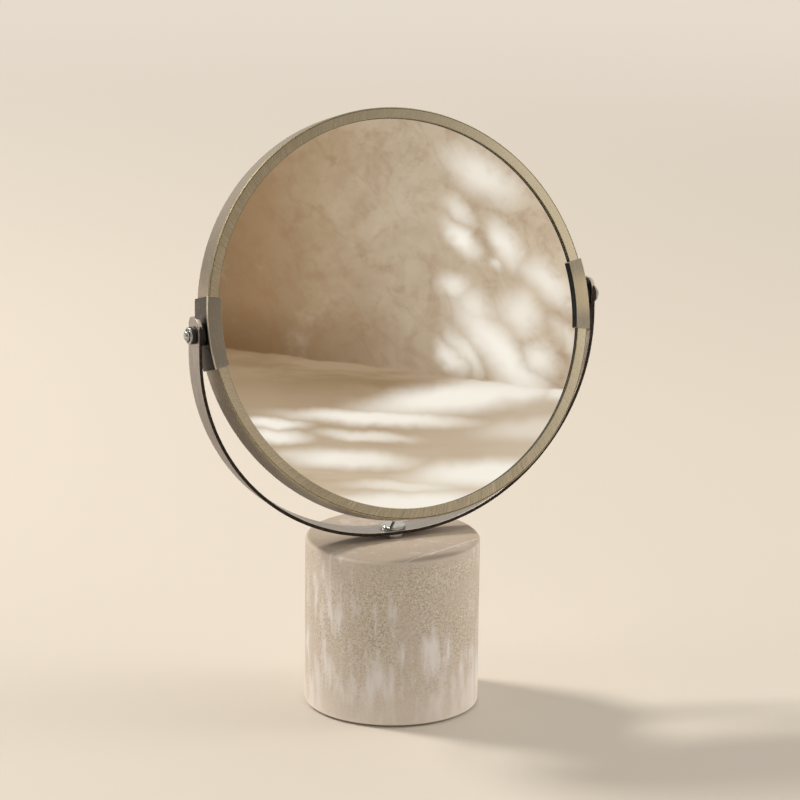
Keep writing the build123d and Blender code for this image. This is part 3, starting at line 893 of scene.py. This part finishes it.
class TABLE_MIRROR_OT_pivots(bpy.types.Operator):
    """Washers, pivot screws and nuts"""

    bl_idname = "table_mirror.pivots"
    bl_label = "Pivots"

    def execute(self, context):
        # black nylon, moulded with a fine matt texture: hardly any shine, a little grey on the edges; its black
        # is partly painted shade round the pivots
        nylon_and_shade = even_finish(
            "black_nylon_and_painted_shade", 0.35, ("#141312", "#2a2826"), relief_mm=0.03, Roughness=0.55, IOR=1.53
        )
        for place, (low, high) in (("inner", INNER_WASHER), ("outer", OUTER_WASHER)):
            radius = (high.y - low.y) / 2
            for side in (1, -1):
                word = "right" if side > 0 else "left"
                outline = [
                    (PIVOT_HOLE, low.x, 0.1 * MM), (radius, low.x, 0.3 * MM), (radius, high.x, 0.3 * MM),
                    (PIVOT_HOLE, high.x, 0.1 * MM)
                ]
                bm = turned_part(outline, WASHER_STEPS, side)
                finished(
                    bm, f"{place}_nylon_{word}", "stand", [nylon_and_shade], [f"{place}_washer_{word}"]
                )
        chrome, dark = bpy.data.materials["polished_chrome"], bpy.data.materials["strip_edge_painted_shade"]
        low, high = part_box("pivot_screw_right")
        flange = high.x - BOLT_DOME_HIGH
        outline = [
            (0, low.x, 0), (BOLT_SHANK, low.x, 0.3 * MM), (BOLT_SHANK, flange - BOLT_FLANGE_THICK, 0),
            (BOLT_FLANGE, flange - BOLT_FLANGE_THICK, 0.12 * MM), (BOLT_FLANGE, flange, 0.35 * MM),
            (BOLT_RING, flange, 0.06 * MM), (BOLT_RING, flange - BOLT_RING_DEEP, 0),
            (BOLT_DOME, flange - BOLT_RING_DEEP, 0), (BOLT_DOME, high.x, 1.5 * MM), (0, high.x, 0)
        ]
        for side in (1, -1):
            word = "right" if side > 0 else "left"
            bm = turned_part(outline, BOLT_STEPS, side)
            # the sunk ring round the dome gets painted shade
            for f in bm.faces:
                middle = f.calc_center_median()
                away, sunk = (middle.yz - PIVOT.yz).length, flange - abs(middle.x)
                between = BOLT_DOME - 0.05 * MM < away < BOLT_RING + 0.05 * MM
                if between and 0.02 * MM < sunk < BOLT_RING_DEEP + 0.05 * MM:
                    f.material_index = 1
            finished(
                bm, f"pivot_bolt_{word}", "mirror", [chrome, dark], [f"pivot_screw_{word}"],
                sharper=40
            )
        # zinc plated steel, blue-white with fine marks of its making
        zinc = even_finish("zinc_plated_steel", 0.5, ("#b9bbbd", "#94979b"), rough=(0.31, 0.39), Metallic=1.0)
        for word in ("left", "right"):
            dress(f"pivot_nut_{word}", zinc)
        return {"FINISHED"}


def ring_half_depth():
    """Half the depth of the ring: its front edge, at the height of the pivots, is the foremost point."""
    return -RING_LOW.y / cos(TILT)


class TABLE_MIRROR_OT_stage(bpy.types.Operator):
    """Pale floor, soft lamps, plain surroundings and the camera"""

    bl_idname = "table_mirror.stage"
    bl_label = "Stage"

    def execute(self, context):
        scene = context.scene
        colours = scene.table_mirror_colours
        bm = bmesh.new()
        bmesh.ops.create_circle(bm, cap_ends=True, segments=128, radius=FLOOR_RADIUS)
        outward(bm)
        mesh = bpy.data.meshes.new("floor")
        bm.to_mesh(mesh)
        bm.free()
        if mesh.polygons[0].normal.z < 0:
            mesh.flip_normals()
        floor = bpy.data.objects.new("floor", mesh)
        scene.collection.objects.link(floor)
        # matt painted board; metal and glass see painted shade on it near the object
        material, shader, add = new_material("pale_floor", Roughness=0.9, Specular_IOR_Level=0.1)
        place = add("TexCoord").outputs["Object"]
        away = add("VectorMath", {0: place}, operation="LENGTH")
        painted_shade_near = add("ValToRGB", {0: away}, [(0.05, 0.45), (0.3, 0.4), (0.7, 0.1)])
        paths = add("LightPath")
        painted_shade_near = add("Math", {0: painted_shade_near, 1: paths.outputs["Is Glossy Ray"]}, operation="MULTIPLY")
        tone = painted(add, colours.floor, painted_shade_near, "#6b5f53")
        fill(shader, {"Base Color": tone})
        # far out, the camera sees it run into the backdrop
        far = add("MapRange", {"Value": away, **span(0.7, 1.9)}, **SMOOTH)
        far = add("Math", {0: far, 1: paths.outputs["Is Camera Ray"]}, operation="MULTIPLY")
        backdrop = add("Emission", {"Color": BACKDROP})
        blended = add("MixShader", {0: far, 1: shader, 2: backdrop})
        fill(material.node_tree.nodes["Material Output"], {"Surface": blended})
        mesh.materials.append(material)

        for name, direction, distance, size, watts, tint, mirrored in LAMPS:
            lamp = bpy.data.lights.new(name, "AREA")
            lamp.shape, lamp.size, lamp.energy, lamp.color = "DISK", size, watts, srgb(tint)
            box = bpy.data.objects.new(name, lamp)
            way = Vector(direction).normalized()
            box.location = LAMP_CENTRE + way * distance
            box.rotation_mode = "QUATERNION"
            box.rotation_quaternion = way.to_track_quat("Z", "Y")
            box.visible_glossy = mirrored
            scene.collection.objects.link(box)
        scene.world = surroundings()

        sideways = Vector((sin(CAMERA_AZIMUTH), -cos(CAMERA_AZIMUTH), 0))
        back = sideways * cos(CAMERA_ELEVATION) + Vector((0, 0, sin(CAMERA_ELEVATION)))
        right = (-back).cross(Vector((0, 0, 1))).normalized()
        up = right.cross(-back)
        rolled_right = cos(CAMERA_ROLL) * right + sin(CAMERA_ROLL) * up
        rolled_up = cos(CAMERA_ROLL) * up - sin(CAMERA_ROLL) * right
        lens = bpy.data.cameras.new("photo_camera")
        lens.sensor_width = SENSOR_MM
        lens.lens = FOCAL_PIXELS * SENSOR_MM / PHOTO_PIXELS
        lens.clip_start, lens.clip_end = 0.1, 50.0
        camera = bpy.data.objects.new("photo_camera", lens)
        turned = Matrix((rolled_right, rolled_up, back)).transposed().to_4x4()
        camera.matrix_world = Matrix.Translation(CAMERA_TARGET + back * CAMERA_AWAY) @ turned
        scene.collection.objects.link(camera)
        scene.camera = camera
        scene.view_settings.view_transform = "Standard"
        return {"FINISHED"}


BACKDROP = "#e6dbcc"
FLOOR_RADIUS = 9.0
LAMP_CENTRE = Vector((0, 0, 0.12))
# name, direction, distance, size, watts, colour, whether metal and glass show it
LAMPS = (
    ("key_behind_left", (-0.507, 0.535, 0.676), 2.4, 0.5, 47.0, "#fffaf3", True),
    ("side_right", (0.9, -0.3, 0.35), 1.4, 0.7, 6.0, "#fffaf4", False),
    ("side_left", (-0.97, -0.05, 0.25), 1.4, 0.7, 2.0, "#fffaf4", False),
)
# the photograph's camera, fitted to the object's outlines
CAMERA_AZIMUTH, CAMERA_ELEVATION, CAMERA_ROLL = radians(-24.755), radians(15.953), 0.01186
CAMERA_TARGET, CAMERA_AWAY = Vector((3.07, 0, 153.82)) * MM, 2111.73 * MM
SENSOR_MM, FOCAL_PIXELS, PHOTO_PIXELS = 36.0, 4327.2, 800

# soft patches of light in the room that the glass shows: place across and up in half widths of the glass,
# half length, half width, lean in degrees and strength; the first group is on the wall, the second on the floor
WALL_LIGHT = (
    (0.46, 1.28, 0.24, 0.11, -35, 0.85),
    (0.33, 1.08, 0.12, 0.055, -45, 0.7),
    (0.34, 0.92, 0.15, 0.06, -46, 1.0),
    (0.59, 0.89, 0.17, 0.07, -58, 0.95),
    (0.55, 0.77, 0.05, 0.035, -20, 0.6),
    (0.84, 0.68, 0.19, 0.085, -42, 0.85),
    (0.31, 0.65, 0.10, 0.07, -30, 0.8),
    (0.44, 0.53, 0.14, 0.09, -50, 0.75),
    (0.68, 0.50, 0.14, 0.11, -50, 0.8),
    (0.56, 0.28, 0.38, 0.11, -52, 1.0),
    (0.36, 0.27, 0.17, 0.05, -60, 0.75),
    (0.95, 0.36, 0.16, 0.05, -50, 0.45),
    (0.46, 0.33, 0.12, 0.08, -50, 0.85),
    (0.68, 0.17, 0.20, 0.09, -38, 0.9),
    (0.29, 0.24, 0.12, 0.06, -60, 0.8),
    (0.80, 0.24, 0.12, 0.09, -50, 0.85),
)
FLOOR_LIGHT = (
    (0.30, 0.01, 0.52, 0.085, 8, 1.0),
    (0.92, 0.05, 0.12, 0.05, 5, 0.8),
    (0.60, 0.05, 0.28, 0.06, 2, 0.9),
    (-0.14, -0.11, 0.50, 0.042, -2, 1.0),
    (-0.73, -0.145, 0.18, 0.03, -2, 1.0),
    (-0.70, -0.215, 0.16, 0.04, -4, 1.0),
    (-0.20, -0.21, 0.26, 0.026, -3, 0.75),
    (0.78, -0.16, 0.30, 0.06, 4, 0.45),
    (-0.30, -0.345, 0.36, 0.055, -2, 0.95),
    (0.50, -0.42, 0.42, 0.075, 3, 1.0),
    (0.03, -0.50, 0.30, 0.03, -2, 0.7),
    (0.05, -0.60, 0.60, 0.07, 2, 1.0),
)


def surroundings():
    """An even, warm studio for light and camera; metal and glass see a plain plastered room in it."""
    world = bpy.data.worlds.new("plain_studio")
    world.use_nodes = True
    world.node_tree.nodes.clear()
    add = partial(add_node, world.node_tree)
    way = add("TexCoord").outputs["Generated"]
    unit = 0.0404  # half the width of the flat glass, as an angle seen from the camera
    axes = ((0.908, 0.338, -0.247), unit), ((0.1151, 0.3666, 0.9232), unit), ((0.4026, -0.8669, 0.2940), 1)
    across, up, facing = (
        add("VectorMath", {0: way, 1: [c / size for c in axis]}, operation="DOT_PRODUCT") for axis, size in axes
    )
    place = add("CombineXYZ", {"X": across, "Y": up, "Z": facing})
    spread = add("MapRange", {"Value": across, **span(-5, 5)})
    # plastered wall opposite the mirror: darker to the left, lighter to the right, with clouds and thin veins
    wall = add(
        "ValToRGB", {0: spread},
        [
            (0.0, "#54453a"), (0.36, "#755b40"), (0.42, "#a08464"), (0.46, "#bba68b"), (0.5, "#c6b69f"),
            (0.55, "#cbb9a1"), (0.6, "#dccbb4"), (0.66, "#ecdfca"), (1.0, "#fff6e9")
        ]
    )
    lower_wall = add("MapRange", {"Value": up, **span(0.15, 1.1, 0.55, 0.0)}, **SMOOTH)
    less = add("MapRange", {"Value": across, **span(-0.3, 0.5, 1.0, 0.1)}, **SMOOTH)
    lower_wall = add("Math", {0: lower_wall, 1: less}, operation="MULTIPLY")
    wall = painted(add, wall, lower_wall, "#876a4a")
    clouds = add("TexNoise", {"Vector": place, "Scale": 2.4, "Detail": 7.0, "Roughness": 0.66})
    drawn = add("VectorRotate", {"Vector": place, "Angle": radians(55)}, rotation_type="Z_AXIS")
    drawn = add("VectorMath", {0: drawn, 1: (1.3, 2.6, 1)}, operation="MULTIPLY")
    veins = add("TexNoise", {"Vector": drawn, "Scale": 1.0, "Detail": 6.0, "Roughness": 0.6, "Distortion": 0.5})
    veins = add("Math", {0: veins, 1: -0.5}, operation="ADD")
    veins = add("Math", {0: veins}, operation="ABSOLUTE")
    specks = add("TexNoise", {"Vector": place, "Scale": 9.0, "Detail": 5.0, "Roughness": 0.6})
    for source, stops, tone in (
        (clouds, [(0.47, 0.0), (0.68, 0.45)], "#9a7b5a"), (clouds, [(0.3, 0.3), (0.45, 0.0)], "#d8c8b2"),
        (veins, [(0.0, 0.16), (0.03, 0.0)], "#8c6440"), (specks, [(0.52, 0.0), (0.7, 0.35)], "#96704f")
    ):
        wall = painted(add, wall, source, tone, stops)
    # the floor of the room begins at a slightly falling line, with a shade on the wall above it at the left
    slope = add("Math", {0: across, 1: 0.11, 2: up}, operation="MULTIPLY_ADD")
    wobble = add("TexNoise", {"Vector": place, "Scale": 5.0, "Detail": 3.0})
    slope = add("Math", {0: wobble, 1: 0.05, 2: slope}, operation="MULTIPLY_ADD")
    above = add("MapRange", {"Value": slope, **span(0.185, 0.2)}, **SMOOTH)
    shade = add("MapRange", {"Value": slope, **span(0.2, 0.5, 0.75, 0.0)})
    left = add("MapRange", {"Value": across, **span(-1.0, 0.0, 1.0, 0.15)})
    shade = add("Math", {0: shade, 1: left}, operation="MULTIPLY")
    wall = painted(add, wall, shade, "#674c31")
    ground = add(
        "ValToRGB", {0: add("MapRange", {"Value": slope, **span(-0.8, 0.2)})},
        [
            (0.0, "#ead9c2"), (0.3, "#d9c7ae"), (0.54, "#c8b59c"), (0.75, "#b59e83"), (0.88, "#9e8668"),
            (1.0, "#96795a")
        ]
    )
    stroked = add("VectorMath", {0: place, 1: (1.2, 9, 1)}, operation="MULTIPLY")
    bands = add("TexNoise", {"Vector": stroked, "Scale": 1.0, "Detail": 4.0, "Roughness": 0.6})
    ground = painted(add, ground, bands, "#bba58a", [(0.45, 0.0), (0.65, 0.6)])
    # shaded at the left, open to a window at the right
    for stops, tone in (([(0.35, 0.3), (0.5, 0.0)], "#8d7354"), ([(0.49, 0.0), (0.58, 0.55)], "#e6d8c4")):
        ground = painted(add, ground, spread, tone, stops)
    # light through leaves: soft patches with uneven outlines
    uneven = add("TexNoise", {"Vector": place, "Scale": 4.5, "Detail": 3.0, "Roughness": 0.55})
    uneven = add("VectorMath", {0: uneven.outputs["Color"], 1: (-0.5,) * 3}, operation="ADD")
    surfaces = []
    for surface, patches, strength, core in ((wall, WALL_LIGHT, 0.16, 0.1), (ground, FLOOR_LIGHT, 0.1, 0.3)):
        moved = add(
            "VectorMath", {0: uneven, 1: (strength, strength * 0.6, 0), 2: place}, operation="MULTIPLY_ADD"
        )
        light = 0.0
        for x, y, long, wide, lean, bright in patches:
            local = add(
                "Mapping",
                {
                    "Vector": moved, "Location": (x, y, 0), "Rotation": (0, 0, radians(lean)),
                    "Scale": (long, wide, 1)
                },
                vector_type="TEXTURE"
            )
            local = add("VectorMath", {0: local, 1: (1, 1, 0)}, operation="MULTIPLY")
            away = add("VectorMath", {0: local}, operation="LENGTH")
            patch = add("MapRange", {"Value": away, **span(core, 1.55, bright, 0.0)}, **SMOOTH)
            light = add("Math", {0: light, 1: patch}, operation="MAXIMUM")
        surfaces.append(painted(add, surface, light, "#fffaf0"))
    room = add("Mix", {0: above, 6: surfaces[1], 7: surfaces[0]}, data_type="RGBA")
    # away from that wall the room is pale, and darker to the front left, where nothing is lit
    level = add("SeparateXYZ", {0: way}).outputs["Z"]
    pale = add(
        "ValToRGB", {0: add("MapRange", {"Value": level, "From Min": -0.1})},
        [(0.0, "#a3978a"), (0.1, "#c9bdad"), (0.4, "#efe7da"), (1.0, "#d8cfc2")]
    )
    unlit = add("VectorMath", {0: way, 1: (-0.8, -0.55, -0.2)}, operation="DOT_PRODUCT")
    unlit = add("MapRange", {"Value": unlit, "From Min": 0.3, "From Max": 0.85, "To Max": 0.8}, **SMOOTH)
    pale = painted(add, pale, unlit, "#4d443b")
    near = add("MapRange", {"Value": facing, **span(0.93, 0.985)}, **SMOOTH)
    room = painted(add, pale, near, room)
    # two broad, soft lights for matt surfaces: one from the right and a weaker one from the left
    side = add("SeparateXYZ", {0: way}).outputs["X"]
    power = add(
        "ValToRGB", {0: add("MapRange", {"Value": side, "From Min": -1})},
        [(0.0, 0.74), (0.4, 0.4), (0.55, 0.45), (1.0, 1.5)]
    )
    # they stand low, so that the floor keeps the shadow of the lamp behind
    low = add("MapRange", {"Value": level, **span(0.0, 1.0, 1.5, 0.62)})
    power = add("Math", {0: power, 1: low}, operation="MULTIPLY")
    paths = add("LightPath")
    seen = add("Background", {"Color": BACKDROP, "Strength": 1.0})
    lit = add("Background", {"Color": "#fffaf3", "Strength": power})
    reflected = add("Background", {"Color": room, "Strength": 1.0})
    first = add("MixShader", {0: paths.outputs["Is Glossy Ray"], 1: lit, 2: reflected})
    last = add("MixShader", {0: paths.outputs["Is Camera Ray"], 1: first, 2: seen})
    add("OutputWorld", {"Surface": last})
    return world


class TABLE_MIRROR_PT_panel(bpy.types.Panel):
    """Sizes, colours and pieces of the table mirror"""

    bl_label = "Table Mirror"
    bl_idname = "TABLE_MIRROR_PT_panel"
    bl_space_type = "VIEW_3D"
    bl_region_type = "UI"
    bl_category = "Table Mirror"

    def draw(self, context):
        layout = self.layout
        for group in (context.scene.table_mirror_sizes, context.scene.table_mirror_colours):
            box = layout.box()
            for name in group.__annotations__:
                box.prop(group, name)
        for operator in OPERATORS:
            layout.operator(operator.bl_idname)


OPERATORS = (
    TABLE_MIRROR_OT_base,
    TABLE_MIRROR_OT_yoke,
    TABLE_MIRROR_OT_ring,
    TABLE_MIRROR_OT_clips,
    TABLE_MIRROR_OT_glass,
    TABLE_MIRROR_OT_pivots,
    TABLE_MIRROR_OT_stage,
)
CLASSES = (TableMirrorSizes, TableMirrorColours, *OPERATORS, TABLE_MIRROR_PT_panel)


def register():
    for c in CLASSES:
        bpy.utils.register_class(c)
    bpy.types.Scene.table_mirror_sizes = PointerProperty(type=TableMirrorSizes)
    bpy.types.Scene.table_mirror_colours = PointerProperty(type=TableMirrorColours)


def unregister():
    del bpy.types.Scene.table_mirror_colours
    del bpy.types.Scene.table_mirror_sizes
    for c in reversed(CLASSES):
        bpy.utils.unregister_class(c)


def main():
    register()
    bpy.ops.table_mirror.base()
    bpy.ops.table_mirror.yoke()
    bpy.ops.table_mirror.ring()
    bpy.ops.table_mirror.clips()
    bpy.ops.table_mirror.glass()
    bpy.ops.table_mirror.pivots()
    bpy.ops.table_mirror.stage()


if __name__ == "__main__":
    main()
